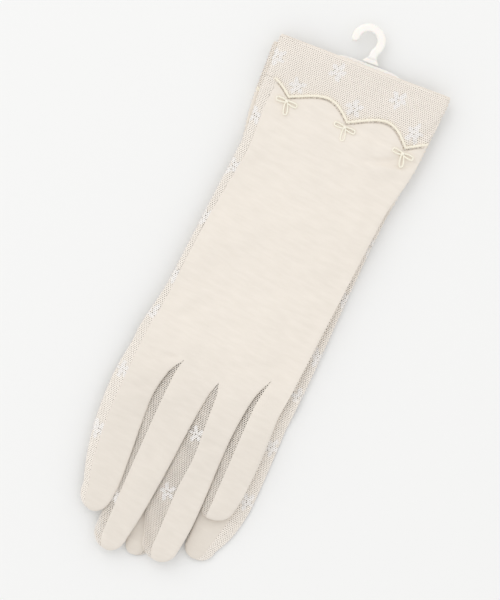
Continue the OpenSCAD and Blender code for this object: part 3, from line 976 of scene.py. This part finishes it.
@dataclass
class Glove:
    """One glove: builds its hand, cuff, trim, fingers and thumb."""

    shape: GloveShape
    cloth: Cloth
    kit: Kit
    rests: str
    motifs: tuple = ()
    palm_motifs: tuple = ()
    finger_motifs: dict = field(default_factory=dict)

    @property
    def prefix(self) -> str:
        """Start of every piece name."""
        return self.shape.side.value

    @property
    def hand(self) -> str:
        """Body that the hand rides on."""
        return self.prefix + "_hand"

    def jersey_finish(self) -> bpy.types.Material:
        """The upper glove's jersey, or the lower glove's: the same cloth darker, painted shade."""
        return self.kit.jersey if self.shape.side is Side.LEFT else self.kit.shaded_lower_jersey

    def build(self) -> None:
        """Builds every piece of the glove."""
        self.hand_back()
        self.hand_palm()
        self.cuff()
        self.hem()
        self.cord()
        self.flowers()
        for k in range(4):
            self.one_finger(k)
        self.thumb()

    def hand_back(self) -> None:
        """Jersey from the split line to the scalloped seam, round the little-finger fold.

        Columns run from the wrap's seam to 2 mm under the fold, rows from the split line to the
        seam, whose curve the last row follows. The cord's stitches pull the jersey down beside
        it: a bell curve of the distance from the seam.
        """
        g = self.shape
        q = np.linspace(0, 1, 220)[None, :]
        p = 1 - (1 - np.linspace(0, 1, 190)[:, None]) ** 1.6
        end = g.hand_l + 3 + 0 * q
        for _ in range(8):
            d_end = mix(2 * g.half_w(end) - g.wrap(end), -2.0, q)
            w = g.half_w(end)
            come = g.fold(np.abs(d_end))[0]
            end = g.scallop(w - come) - 0.3
        v = mix(g.split_v, end, p)
        d = mix(2 * g.half_w(v) - g.wrap(v), -2.0, q)
        points = g.back(d, v, from_index=False)
        points[..., 2] -= 0.75 * np.exp(-(((end - v - 0.5) / 0.75) ** 2)) * (d > 1.5)
        obj = thick_sheet(f"{self.prefix}_hand_back.jersey", self.cloth, points, g.thickness,
                          points[..., :2])
        finish_piece(obj, self.jersey_finish(), (f"{self.prefix}_hand_back",),
                     BACK_CUT, True)
        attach(obj, self.hand)

    def hand_palm(self) -> None:
        """Palm net up to the cuff's top, and the strip that wraps onto the back."""
        g = self.shape

        def under(a: Array, v: Array) -> Array:
            """Palm net: a runs from the little-finger fold to the index fold."""
            x, y = g.place(-a, v)
            rim = np.clip((np.abs(a) - g.half_w(v) + 2.5) / 2.5, 0, 1) ** 2
            low = g.low_z(v)
            return np.stack([x, y, mix(low, (low + g.top_z) / 2, rim * 0.8)], -1)

        obj = self.kit.mesh.make(
            f"{self.prefix}_hand_palm.net", self.cloth, under, (-46, 46, g.split_v, g.cuff_top),
            lambda a, v: (np.abs(a) < g.half_w(v)) & (v < g.hand_l + 2), self.palm_motifs)
        finish_piece(obj, self.kit.net, (f"{self.prefix}_hand_palm",), PALM_CUT,
                     False)
        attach(obj, self.hand)

        wrap = self.kit.close.make(
            f"{self.prefix}_hand_wrap.net", self.cloth,
            lambda a, v: g.back(a, v, from_index=True) - [0, 0, 0.1],
            (-2.2, 9, g.split_v, g.hand_l + 8),
            lambda a, v: (a < g.wrap(v) + 0.9) & (v < g.scallop(a - g.half_w(v)) - 0.2),
            self.strip_motifs(), solid=True)
        finish_piece(wrap, self.kit.net, (), WRAP_CUT, True)
        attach(wrap, self.hand)

    def strip_motifs(self) -> tuple:
        """Motifs that the fold at the index side cuts through."""
        return tuple((1.6, v) for v in (18.0, 40.5, 73.0, 101.5, 129.0))

    def cuff(self) -> None:
        """Net of the cuff: its back down to the scalloped seam, and its palm side."""
        g = self.shape
        top = g.cuff_top - 0.6

        def over(a: Array, v: Array) -> Array:
            """Back of the cuff: a runs across from the index side."""
            x, y = g.place(a, v)
            w = g.half_w(v)
            rim = np.clip((np.abs(a) - w + 3) / 3, 0, 1) ** 2
            return np.stack([x, y, g.top_z - 0.15 + g.swell * (1 - (a / w) ** 2) - rim * 1.0
                             + g.wrinkle(x, y)], -1)

        def under(a: Array, v: Array) -> Array:
            """Palm side of the cuff, with its face turned down."""
            x, y = g.place(-a, v)
            rim = np.clip((np.abs(a) - g.half_w(v) + 3) / 3, 0, 1) ** 2
            return np.stack([x, y, g.low_z(v) + rim * 0.9], -1)

        back = self.kit.close.make(
            f"{self.prefix}_cuff_back.net", self.cloth, over, (-46, 46, g.hand_l - 6, top),
            lambda a, v: (np.abs(a) < g.half_w(v)) & (v > g.scallop(a) - 1.2) & (v < top),
            self.motifs, solid=True)
        palm = self.kit.close.make(
            f"{self.prefix}_cuff_palm.net", self.cloth, under, (-46, 46, g.hand_l + 1, top),
            lambda a, v: (np.abs(a) < g.half_w(v)) & (v < top), self.motifs)
        for obj, solid in ((back, True), (palm, False)):
            finish_piece(obj, self.kit.net, (node_of(obj),), CUFF_CUT, solid)
            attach(obj, self.hand)

    def hem(self) -> None:
        """Hem: a flat band folded round the mouth, one superellipse ring carried up it.

        The ring is x = half width cos t, z = half height sin t, each on a power, and the band
        rises from 1.3 mm below the top of the cuff to the top and turns 1 mm inwards.
        """
        g = self.shape
        t = np.linspace(0, 2 * math.pi, 400, endpoint=False)[None, :]
        rise = np.array([-1.3, -1.0, -0.7, -0.35, -0.08, 0.0, -0.12, -0.6, -1.5])[:, None]
        draw = np.array([0.0, 0.02, 0.04, 0.05, 0.16, 0.35, 0.52, 0.55, 0.55])[:, None]
        v = g.cuff_top + rise + 0 * t
        w = g.half_w(v) - draw
        low, high = g.low_z(v), g.top_z + 0.02
        cos, sin = np.cos(t), np.sin(t)
        s = w * np.sign(cos) * np.abs(cos) ** 0.9
        half = (high - low) / 2 - draw * 0.7
        z = (high + low) / 2 + half * np.sign(sin) * np.abs(sin) ** 0.35
        z = z + 0.7 * g.swell * np.clip(1 - (s / w) ** 2, 0, 1) * (sin > 0)
        x, y = g.place(s, v)
        z = z + g.wrinkle(x, y) * (sin > 0) + 0.06 * np.sin(s * 2 * math.pi / 1.9)
        points = np.stack([x, y, z], -1)
        faces = grid_faces(*points.shape[:2], closed=True)
        obj = add_mesh(f"{self.prefix}_cuff_hem.band", self.cloth.world(points.reshape(-1, 3)),
                       faces, self.shape.side is Side.LEFT)
        finish_piece(obj, self.kit.hem, (f"{self.prefix}_cuff_hem",))
        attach(obj, self.hand)

    def seam_path(self) -> Array:
        """Points along the scalloped seam, on the back."""
        g = self.shape
        end = g.half_w(np.array(150.0))
        s = np.linspace(g.wrap(np.array(150.0)) - end - 1.2, end, 700)
        x, y = g.place(s, g.scallop(s))
        w = g.half_w(g.scallop(s))
        rim = np.clip((np.abs(s) - w + 3) / 3, 0, 1) ** 2
        z = g.top_z + g.trim_lift + g.swell * np.clip(1 - (s / w) ** 2, 0, 1) - rim * 0.9
        return np.stack([x, y, z + g.wrinkle(x, y)], -1)

    def cord(self) -> None:
        """Two-ply satin cord over the seam: a tube whose two strands turn every 2.2 mm."""
        path = self.seam_path()
        r = np.full(len(path), 0.62)
        r[0] = r[-1] = 0.01
        grid = tube(path, r, 12, twist=2 * math.pi / 1.1, lobe=0.15)
        obj = tubes_mesh(f"{self.prefix}_scallop_cord.thread", self.cloth, [grid])
        finish_piece(obj, self.kit.cord, (f"{self.prefix}_scallop_cord",))
        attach(obj, self.hand)

    def flowers(self) -> None:
        """Three thread loops and a knot under each valley.

        A loop is a teardrop, x = length (1 - cos t) / 2 and y = width sin t times a taper, and
        it stands off the cloth in its middle.
        """
        g = self.shape
        grids = []
        rng = np.random.default_rng(7)
        for n in (-1, 0, 1):
            s = np.array(g.valley + n * g.scallop_pitch)
            kx, ky = g.place(s, np.array(g.hand_l - 4.0))
            kz = g.top_z + g.trim_lift + 0.13
            for turn, length in ((186, 5.4), (286, 6.6), (357, 5.6)):
                a = math.radians(turn + rng.uniform(-4, 4))
                t = np.linspace(0, 2 * math.pi, 40)
                lx = length * (1 - np.cos(t)) / 2
                ly = 1.2 * power_wave(np.sin(t), 0.55) * (
                    0.55 + 0.45 * lx / length)
                lz = 0.8 * g.trim_lift * np.sin(t / 2) ** 2 + 0.1
                path = np.stack([kx + lx * math.cos(a) - ly * math.sin(a),
                                 ky + lx * math.sin(a) + ly * math.cos(a),
                                 kz - 0.1 + lz], -1)
                r = np.full(len(t), 0.4)
                r[0] = r[-1] = 0.01
                grids.append(tube(path, r, 8, twist=2 * math.pi / 0.9, lobe=0.1))
            t = np.linspace(0, math.pi, 12)
            knot = np.stack([kx - 0.95 * np.cos(t), ky + 0.1 * np.sin(t), kz + 0.25 + 0 * t], -1)
            grids.append(tube(knot, 0.8 * np.sin(t) + 0.01, 10))
        obj = tubes_mesh(f"{self.prefix}_loop_flowers.thread", self.cloth, grids)
        finish_piece(obj, self.kit.flower, (f"{self.prefix}_loop_flowers",))
        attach(obj, self.hand)

    def one_finger(self, k: int) -> None:
        """Jersey back, lace fourchette and lace palm of finger k."""
        g, name = self.shape, FINGERS[k]
        surface = FingerSurface(g, k)
        points, uv = surface.jersey()
        reach = g.fingers[k].reach
        long = reach + g.split_v
        back = thick_sheet(f"{self.prefix}_{name}_back.jersey", self.cloth, points[::-1],
                           g.thickness, uv[::-1])
        side = (self.kit.mesh if k else self.kit.close).make(
            f"{self.prefix}_{name}_fourchette.net", self.cloth,
            surface.side_map, (-0.2, 15, -reach, g.split_v),
            self.side_mask(surface), self.finger_motifs.get(k, ()), solid=True)
        palm = self.kit.mesh.make(
            f"{self.prefix}_{name}_palm.net", self.cloth, surface.palm_map,
            (-50, 50, -reach, g.split_v), self.palm_mask(surface))
        for obj, finish, slot, wide, closed in (
                (back, self.jersey_finish(), Slot.JERSEY, FINGER_CUT_W, True),
                (side, self.kit.net, Slot.LACE, FOURCHETTE_CUT_W, True),
                (palm, self.kit.net, Slot.LACE, FINGER_CUT_W, False)):
            finish_piece(obj, finish, (node_of(obj),), (wide, long), closed)
        for obj in (back, side, palm):
            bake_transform(obj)

    def side_mask(self, surface: FingerSurface) -> Mask:
        """Cells of a fourchette: from under the jersey to the lace edge."""
        def inside(a: Array, v: Array) -> Array:
            """Whether a cell centre lies on the fourchette."""
            lace, seam, _ = surface.edges(v)
            return (a * 0.92 < seam - lace + 0.9) & (seam - lace > 0.15)
        return inside

    def palm_mask(self, surface: FingerSurface) -> Mask:
        """Cells of a finger's palm: between its lace edge and its folded edge."""
        def inside(a: Array, v: Array) -> Array:
            """Whether a cell centre lies on the palm."""
            lace, _, edge = surface.edges(v)
            return (-a > lace) & (-a < edge)
        return inside

    def thumb(self) -> None:
        """Thumb pressed flat under the palm: jersey above, net below, both bowed at the rim.

        Its outline is two circles joined by straight sides. The depth inside that outline sets
        the height: it rises as a quarter circle over the first 2 mm from the rim.
        """
        turn = math.radians(8)
        root_r, tip_r, span = 14.5, 10.5, 49.5
        origin = np.array([-26.0, 82.0])

        def depth(a: Array, b: Array) -> Array:
            """Distance inside the outline: radius there less distance from the middle line."""
            k = np.clip(-b / span, 0, 1)
            return mix(root_r, tip_r, k) - np.hypot(a, b + k * span)

        def at(a: Array, b: Array, z: Array) -> Array:
            """Thumb coordinates to the glove's frame."""
            x = origin[0] + a * math.cos(turn) - b * math.sin(turn)
            y = origin[1] + a * math.sin(turn) + b * math.cos(turn)
            return np.stack([x, y, z], -1)

        def bow(a: Array, b: Array) -> Array:
            """Height share inside the rim."""
            k = np.clip(depth(a, b) / 2.0, 0, 1)
            return np.sqrt(np.clip(1 - (1 - k) ** 2, 0, 1))

        ang = np.linspace(0, 2 * math.pi, 140, endpoint=False)[None, :]
        rho = np.sin(np.linspace(0.004, math.pi / 2, 26))[:, None]
        mid = -span / 2
        # The outline as seen from the middle: step out along each ray until the depth is zero.
        reach_out = np.full(ang.shape, 8.0)
        for _ in range(60):
            d = depth(reach_out * np.cos(ang), mid + reach_out * np.sin(ang))
            reach_out = reach_out + 0.8 * d
        a = rho * reach_out * np.cos(ang)
        b = mid + rho * reach_out * np.sin(ang)
        shell = at(a, b, 0.62 + 0.5 * bow(a, b))
        lower = at(a, b, 0.62 + 0.05 * bow(a, b))
        rows, cols = shell.shape[:2]
        faces = grid_faces(rows, cols, closed=True)
        count = rows * cols
        rim = np.arange(cols) + (rows - 1) * cols
        nxt = np.roll(rim, -1)
        wall = np.stack([rim, nxt, nxt + count, rim + count], 1)
        caps = np.stack([np.zeros(cols - 2, int), np.arange(1, cols - 1),
                         np.arange(2, cols)], 1)
        points = np.concatenate([shell.reshape(-1, 3), lower.reshape(-1, 3)])
        quads = np.concatenate([faces[:, ::-1], faces + count, wall[:, ::-1]])
        triangles = np.concatenate([quads[:, [0, 1, 2]], quads[:, [0, 2, 3]], caps,
                                    caps[:, ::-1] + count])
        back = add_mesh(f"{self.prefix}_thumb_back.jersey", self.cloth.world(points), triangles,
                        self.shape.side is Side.RIGHT, points[:, :2])
        front = self.kit.mesh.make(
            f"{self.prefix}_thumb_front.net", self.cloth,
            lambda p, q: at(-p, q, 0.5 - 0.4 * bow(-p, q)), (-16, 16, -61, 16),
            lambda p, q: depth(-p, q) > 0.2)
        finish_piece(back, self.jersey_finish(), (node_of(back),), THUMB_CUT, True)
        finish_piece(front, self.kit.net, (node_of(front),), THUMB_CUT, False)
        for obj in (back, front):
            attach(obj, self.prefix + "_thumb")


@dataclass
class DisplayHook:
    """Plastic hook: a rounded band bent into an open loop, on a flat plate."""

    kit: Kit
    radius: float = 4.6
    band: float = 4.1
    thick: float = 2.4
    plate_w: float = 36.0
    plate_h: float = 16.0
    plate_t: float = 1.2
    lean: float = math.radians(6.8)
    centre: tuple = (-4.8, 21.2)
    arc: tuple = (203, -42)
    stem_end: float = 11.0
    plate_top: float = 10.4

    def build(self) -> None:
        """Builds the hook's loop with its stem, the plate and the pin."""
        low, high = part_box("tag_pin")
        pin = np.array([(low.x + high.x) / 2, (low.y + high.y) / 2]) / MM
        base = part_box("hanger_hook")
        z_mid = (base[0].z + base[1].z) / 2 / MM
        flat = Cloth(Side.LEFT, pin[0], pin[1], z_mid)
        loop = tubes_mesh("hanger_hook.loop", flat, [self.loop()])
        plate = self.plate(flat)
        finish_piece(loop, self.kit.plastic, ("hanger_hook",))
        finish_piece(plate, self.kit.plastic, ())
        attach(loop, "hook")
        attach(plate, "hook")
        frame["nodes"]["tag_pin"].data.materials.clear()
        frame["nodes"]["tag_pin"].data.materials.append(self.kit.plastic)

    def turned(self, p: Array) -> Array:
        """Turns points by the lean of the cuff."""
        c, s = math.cos(self.lean), math.sin(self.lean)
        return np.stack([p[..., 0] * c - p[..., 1] * s, p[..., 0] * s + p[..., 1] * c,
                         p[..., 2]], -1)

    def loop(self) -> Array:
        """Band carried round an arc and down the stem: superellipse section, rounded ends."""
        mid = self.radius + self.band / 2
        cx, cy = self.centre
        a = np.radians(np.linspace(*self.arc, 110))
        arc = np.stack([cx + mid * np.cos(a), cy + mid * np.sin(a)], -1)
        stem_x, stem_y = arc[-1]
        down = np.linspace(0, 1, 24)[1:, None]
        stem = np.concatenate([np.full_like(down, stem_x), mix(stem_y, self.stem_end, down)], 1)
        path = np.concatenate([arc, stem])
        smooth = path.copy()
        for _ in range(12):
            smooth[1:-1] = (smooth[:-2] + 2 * smooth[1:-1] + smooth[2:]) / 4
        d = np.gradient(smooth, axis=0)
        d /= np.linalg.norm(d, axis=1, keepdims=True)
        side = np.stack([-d[:, 1], d[:, 0]], -1)
        run = np.concatenate([[0], np.cumsum(np.hypot(*np.diff(smooth, axis=0).T))])
        cap = np.clip(run / (self.band / 2), 0, 1)
        size = np.sqrt(np.clip(1 - (1 - cap) ** 2, 1e-4, 1))
        foot = ease((run - run[-1] + 3.5) / 3.5) * 2.2
        t = np.linspace(0, 2 * math.pi, 28, endpoint=False)[None, :]
        c = power_wave(np.cos(t), 0.55)
        s = power_wave(np.sin(t), 0.55)
        half = (self.band / 2 * size + foot)[:, None]
        high = (self.thick / 2 * np.maximum(size, 0.02))[:, None] * (1 - 0.5 * ease(foot)[:, None])
        xy = smooth[:, None, :] + (half * c)[..., None] * side[:, None, :]
        return self.turned(np.concatenate([xy, (high * s)[..., None]], -1))[::-1]

    def plate(self, flat: Cloth) -> bpy.types.Object:
        """Rounded slab: a superellipse outline carried over a bowed edge."""
        t = np.linspace(0, 2 * math.pi, 160, endpoint=False)[None, :]
        ring = np.array([0.0, 0.5, 0.93, 0.98, 1.0, 1.0, 0.98, 0.93, 0.5, 0.0])[:, None]
        z = np.array([0.5, 0.5, 0.5, 0.42, 0.25, -0.25, -0.42, -0.5, -0.5, -0.5])[:, None]
        c = power_wave(np.cos(t), 0.4)
        s = power_wave(np.sin(t), 0.4)
        x = ring * self.plate_w / 2 * c
        y = self.plate_top - self.plate_h / 2 + ring * self.plate_h / 2 * s
        points = self.turned(np.stack([x, y, z * self.plate_t + 0 * x], -1))
        return tubes_mesh("hanger_hook.plate", flat, [points[::-1]])


# ---------------------------------------------------------------- set-up


def left_fingers() -> tuple:
    """The upper glove's fingers."""
    return (
        Finger("index", 84.0, (-42.8, -43.6, -42.3, -39.3, -34.2, -30.6),
               (-38.6, -37.9, -36.8, -34.7, -31.0, -27.6),
               (-18.9, -21.2, -19.6, -17.2, -15.2, -15.2), -22.5, 0.87),
        Finger("middle", 98.0, (-19.6, -22.2, -19.6, -17.0, -16.8, -16.4),
               (-16.6, -16.2, -15.1, -14.0, -12.7, -12.0),
               (4.0, 2.9, 2.7, 2.3, 1.4, 0.4), -7.0, 0.9),
        Finger("ring", 91.5, (3.6, 1.8, 1.6, 1.6, 2.9, 7.2),
               (6.9, 9.0, 11.3, 11.3, 12.6, 13.2),
               (23.9, 23.5, 24.6, 26.1, 26.7, 26.1), 17.6, 0.9),
        Finger("little", 60.6, (23.2, 22.8, 23.2, 24.0, 25.0, 25.4),
               (26.6, 27.2, 28.0, 28.9, 29.7, 30.3),
               (39.8, 41.1, 42.2, 42.6, 42.3, 41.4), 31.0, 0.84),
    )


def right_fingers() -> tuple:
    """The lower glove's fingers."""
    return (
        Finger("index", 77.8, (-44.6, -45.9, -46.9, -47.3, -44.6, -41.4),
               (-39.4, -40.0, -41.0, -41.0, -38.8, -37.2),
               (-16.8, -18.9, -21.0, -23.4, -25.2, -25.8), -32.6, 0.9),
        Finger("middle", 90.0, (-16.9, -18.9, -17.6, -16.0, -14.0, -12.4),
               (-15.6, -14.8, -13.6, -12.0, -10.6, -10.2),
               (4.4, 3.6, 3.0, 2.4, 2.2, 1.4), -3.8, 0.9),
        Finger("ring", 86.0, (4.0, 2.8, 2.6, 2.2, 1.8, 1.4),
               (5.0, 7.0, 7.8, 7.8, 7.2, 6.6),
               (24.0, 23.6, 22.8, 21.4, 18.4, 16.2), 9.0, 0.9),
        Finger("little", 56.0, (23.8, 23.4, 23.6, 24.0, 24.6, 25.6),
               (26.8, 27.2, 28.0, 28.6, 29.0, 29.4),
               (40.2, 40.4, 40.4, 40.2, 39.6, 38.6), 32.4, 0.9),
    )


def left_creases() -> tuple:
    """Folds of the upper glove that catch the light."""
    return (
        Crease((-26, 25), (-17, 38), 3.4, -1.22),
        Crease((-32, 30), (-11, 72), 6.5, -1.00),
        Crease((-34, 84), (-18, 113), 8.0, -1.33),
        Crease((21, 135), (43, 145), 1.9, -1.95),
        Crease((9, 146.5), (27, 147.5), 2.8, -1.04),
        Crease((20, 131), (42, 138.5), 3.4, 1.55),
        Crease((0, 60), (18, 128), 14.0, 1.33),
        Crease((20, 30), (26, 90), 10.0, 0.88),
        Crease((-35, 1.2), (-28, 1.6), 1.5, -0.88),
        Crease((-27, 0.0), (-17, 5.0), 1.7, -0.88),
        Crease((-12, 10), (4, 3.5), 2.0, -0.77),
        Crease((8, 12), (24, 20), 2.6, -0.77),
        Crease((-14, -21), (1, -32), 2.6, -1.33),
        Crease((-13, -36), (-3, -52), 3.2, -1.10),
        Crease((-13.5, -67), (-1, -92), 2.6, -1.87),
        Crease((-15, -78), (-8, -95), 2.2, 0.88),
        Crease((11, -27), (20, -28), 3.4, -1.33),
        Crease((14, -44), (24, -52), 3.2, -0.88),
        Crease((12, -76), (24, -84), 3.6, -0.77),
        Crease((30, -24), (39, -27), 2.4, -1.10),
        Crease((30, -36), (41, -39), 2.4, -1.10),
        Crease((-32, -46), (-17, -62), 4.2, -1.33),
        Crease((-33, -20), (-24, -14), 3.0, -0.77),
        Crease((34, 146), (46, 176), 1.6, -1.00),
    )


def right_creases() -> tuple:
    """Folds of the lower glove that show beside the upper one."""
    return (
        Crease((-40, -60), (-30, -72), 3.0, -0.59),
        Crease((-6, -72), (2, -86), 2.6, -0.68),
    )


def build_stage() -> None:
    """Pale floor, a large soft light from the upper left of the picture, and the camera."""
    material, _, shader = new_material("matt white card")
    shader.inputs["Base Color"].default_value = srgb("F4F4F3")
    shader.inputs["Roughness"].default_value = 0.9
    shader.inputs["Specular IOR Level"].default_value = 0.1
    bpy.ops.mesh.primitive_plane_add(size=6, location=(0, 0, -0.0002))
    floor = bpy.context.object
    floor.name = "floor"
    floor.data.materials.append(material)

    world = bpy.data.worlds.new("studio")
    bpy.context.scene.world = world
    world.use_nodes = True
    world.node_tree.nodes["Background"].inputs["Color"].default_value = (1.0, 1.0, 1.0, 1.0)
    world.node_tree.nodes["Background"].inputs["Strength"].default_value = 0.93

    data = bpy.data.lights.new("softbox", "AREA")
    data.shape = "RECTANGLE"
    data.size, data.size_y = 2.0, 2.0
    data.energy = 9.0
    light = bpy.data.objects.new("softbox", data)
    light.location = (-1.5, 0.9, 1.6)
    light.rotation_euler = direction_to(light.location, (0, 0, 0))
    bpy.context.scene.collection.objects.link(light)

    camera_data = bpy.data.cameras.new("camera")
    camera_data.lens = 150
    camera = bpy.data.objects.new("camera", camera_data)
    camera.location = (0.06 * MM, -2.58 * MM, 1.25 + 0.006)
    camera.rotation_euler = (0, 0, math.radians(27.5))
    bpy.context.scene.collection.objects.link(camera)
    bpy.context.scene.camera = camera
    bpy.context.scene.view_settings.view_transform = "Standard"


def direction_to(start: tuple, target: tuple) -> tuple:
    """Rotation that points a light from start to target."""
    return (Vector(target) - Vector(start)).to_track_quat("-Z", "Y").to_euler()


def joint_at(name: str) -> tuple[float, float, float]:
    """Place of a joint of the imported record, in mm."""
    joint = next(j for j in frame["joints"] if j["name"] == name)
    return tuple(c / MM for c in joint["pos_m"])


def lay_z(side: Side) -> float:
    """Height of a glove's own frame in mm: the top of its hand less a glove's thickness."""
    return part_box(side.value + "_hand_back")[1].z / MM - GloveShape.top_z


def main() -> None:
    """Builds the stage, both gloves and the hook, and reports each piece."""
    logging.basicConfig(level=logging.INFO, format="%(message)s")
    build_stage()
    kit = Kit(
        jersey=JerseyFinish("ivory nylon tricot", "F5EDE3", "E7DFD4").make(),
        shaded_lower_jersey=JerseyFinish("ivory nylon tricot below in painted shade", "F0E8DD", "E4DBD0").make(),
        # The lower glove's jersey is the same cloth painted darker: painted shade under the upper
        # glove.
        net=NetFinish("knitted nylon net", "F8F0E6", "F9F5F1").make(),
        hem=JerseyFinish("folded net hem", "EFE7DC", "E8DFD4").make(),
        cord=SatinFinish("rayon cord", "FFF8E6").make(),
        flower=SatinFinish("rayon thread", "FFFAEA", 0.38).make(),
        plastic=PolypropyleneFinish().make(),
    )
    left_axis = joint_at("left_thumb_swing")[0] + 26
    right_axis = joint_at("right_thumb_swing")[0] - 26
    palm_motifs = ((-20, 40), (10, 60), (-5, 90), (22, 110))
    cuff_motifs = ((-11.5, 169.0), (21.0, 166.5), (-42.0, 165.0), (-27.5, 154.0), (3.0, 154.6),
                   (35.5, 154.0))
    left = Glove(
        GloveShape(Side.LEFT, left_fingers(), 130.0, left_creases()),
        Cloth(Side.LEFT, left_axis, joint_at("left_index_fold")[1], lay_z(Side.LEFT)),
        kit, "right_hand_back", cuff_motifs, palm_motifs,
        {1: ((2.6, -72.0),), 2: ((3.8, -26.0), (5.0, -58.0)),
         0: ((3.2, -14.0), (3.2, -46.0))})
    right = Glove(
        GloveShape(Side.RIGHT, right_fingers(), 105.0, right_creases(), slack_share=0.002,
                   crown=0.25, swell=0.1, sink=0.75, trim_lift=0.12, flare=4.2, flare_l=115.0,
                   mouth_w=0.0, wrap_w=(6.5, 6.2, 6.0, 6.0, 6.0, 6.0, 6.5)),
        Cloth(Side.RIGHT, right_axis, joint_at("right_index_fold")[1], lay_z(Side.RIGHT)),
        kit, "floor", cuff_motifs, palm_motifs,
        {0: ((3.2, -10.0), (3.2, -40.0))})
    for glove in (right, left):
        glove.build()
    DisplayHook(kit).build()
    log.info("built both gloves and the hook")


if __name__ == "__main__":
    main()
